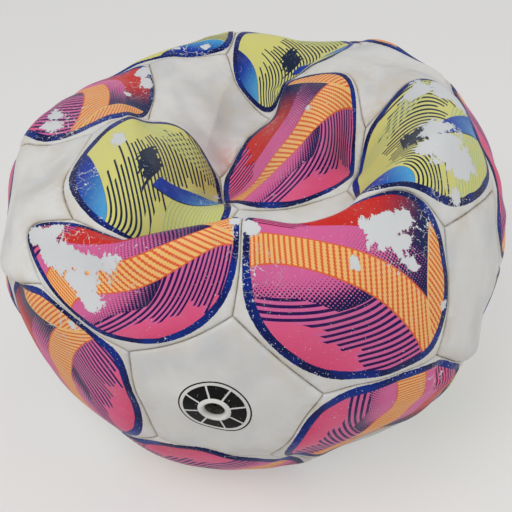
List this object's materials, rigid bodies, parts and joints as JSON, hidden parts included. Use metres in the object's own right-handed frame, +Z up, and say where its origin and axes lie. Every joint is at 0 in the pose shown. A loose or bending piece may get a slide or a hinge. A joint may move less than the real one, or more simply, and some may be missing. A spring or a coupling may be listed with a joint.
{
  "type": "deflated soccer ball",
  "caption": "Deflated, worn soccer ball of sewn five- and six-sided panels, sunk in at the top into a deep pocket and lobes, with a rubber valve and a slack bladder.",
  "frame": {"origin": "on the ground, on the flat that the ball rests on, below the centre of the round ball", "axes": "+Z up, the valve's panel faces -Y, +X to the ball's right as the valve is looked at"},
  "size_m": [0.218, 0.2205, 0.1494],
  "materials": {
    "white_panels": "worn satin coated synthetic leather, dirty at the seams",
    "pink_panels": "worn satin printed synthetic leather in pink, orange and navy, flaked to white",
    "lime_panels": "worn satin printed synthetic leather in lime, sky blue and navy, flaked to white",
    "valve": "matt dusty rubber",
    "bladder": "matt"
  },
  "bodies": {
    "root": {"pentagon_valve": "white_panels", "pentagon_pocket": "white_panels", "pentagon_right": "white_panels", "pentagon_low_right": "white_panels", "pentagon_low_left": "white_panels", "pentagon_left": "white_panels", "pentagon_shelf": "white_panels", "pentagon_back_right": "white_panels", "pentagon_under_back": "white_panels", "pentagon_back_left": "white_panels", "pentagon_basin": "white_panels", "pentagon_back": "white_panels", "hexagon_front_left": "pink_panels", "hexagon_front_right": "pink_panels", "hexagon_lower_left": "pink_panels", "hexagon_lower_right": "pink_panels", "hexagon_chin": "pink_panels", "hexagon_lobe_left": "lime_panels", "hexagon_lobe_middle": "pink_panels", "hexagon_lobe_right": "lime_panels", "hexagon_rim_back": "lime_panels", "hexagon_rim_left": "pink_panels", "hexagon_rim_right": "pink_panels", "hexagon_rim_back_left": "lime_panels", "hexagon_rim_back_right": "pink_panels", "hexagon_side_left": "pink_panels", "hexagon_side_right": "lime_panels", "hexagon_base": "pink_panels", "hexagon_base_left": "lime_panels", "hexagon_base_right": "pink_panels", "hexagon_low_back_left": "pink_panels", "hexagon_low_back_right": "pink_panels", "valve_plug": "valve", "bladder": "bladder"}
  },
  "joints": []
}
